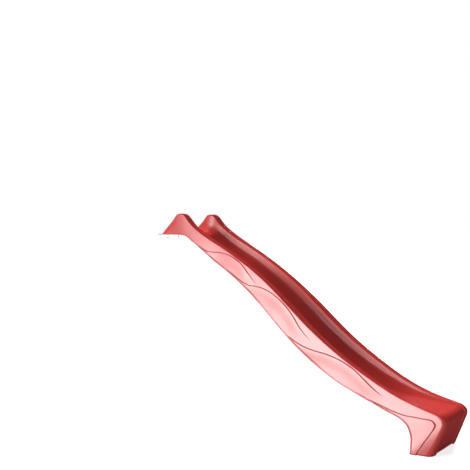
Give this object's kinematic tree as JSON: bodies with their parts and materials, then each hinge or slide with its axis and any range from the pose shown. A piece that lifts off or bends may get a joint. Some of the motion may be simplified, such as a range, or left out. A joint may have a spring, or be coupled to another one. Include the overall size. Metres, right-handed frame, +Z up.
{
  "type": "wave slide",
  "caption": "Double-skinned moulded plastic playground slide with a wavy bed, raised rims, tall ears at the mouth, a deck lip at the top and a hollow foot.",
  "frame": {"origin": "on the flat underside of the deck lip, midway across the slide, at the edge of the platform", "axes": "+X down the run, away from the platform; +Y across the slide, to the left of a child facing down it; +Z up"},
  "size_m": [2.5667, 0.552, 1.6774],
  "materials": {
    "slide_plastic": "glossy red moulded polyethylene with a fine grain",
    "fitting_plastic": "dark grey moulded nylon",
    "rubber": "matt black rubber",
    "steel": "bright zinc-plated steel"
  },
  "bodies": {
    "root": {"slide_shell": "slide_plastic", "underside_shell": "slide_plastic", "deck_screw_left": "steel", "deck_screw_middle": "steel", "deck_screw_right": "steel", "deck_washer_left": "steel", "deck_washer_middle": "steel", "deck_washer_right": "steel", "screw_cap_left": "slide_plastic", "screw_cap_middle": "slide_plastic", "screw_cap_right": "slide_plastic", "hose_nipple": "fitting_plastic", "hose_gasket": "rubber", "hose_locknut": "fitting_plastic", "hose_dust_cap": "rubber", "vent_plug": "slide_plastic", "anchor_bush_left": "rubber", "anchor_bush_right": "rubber"}
  },
  "joints": []
}
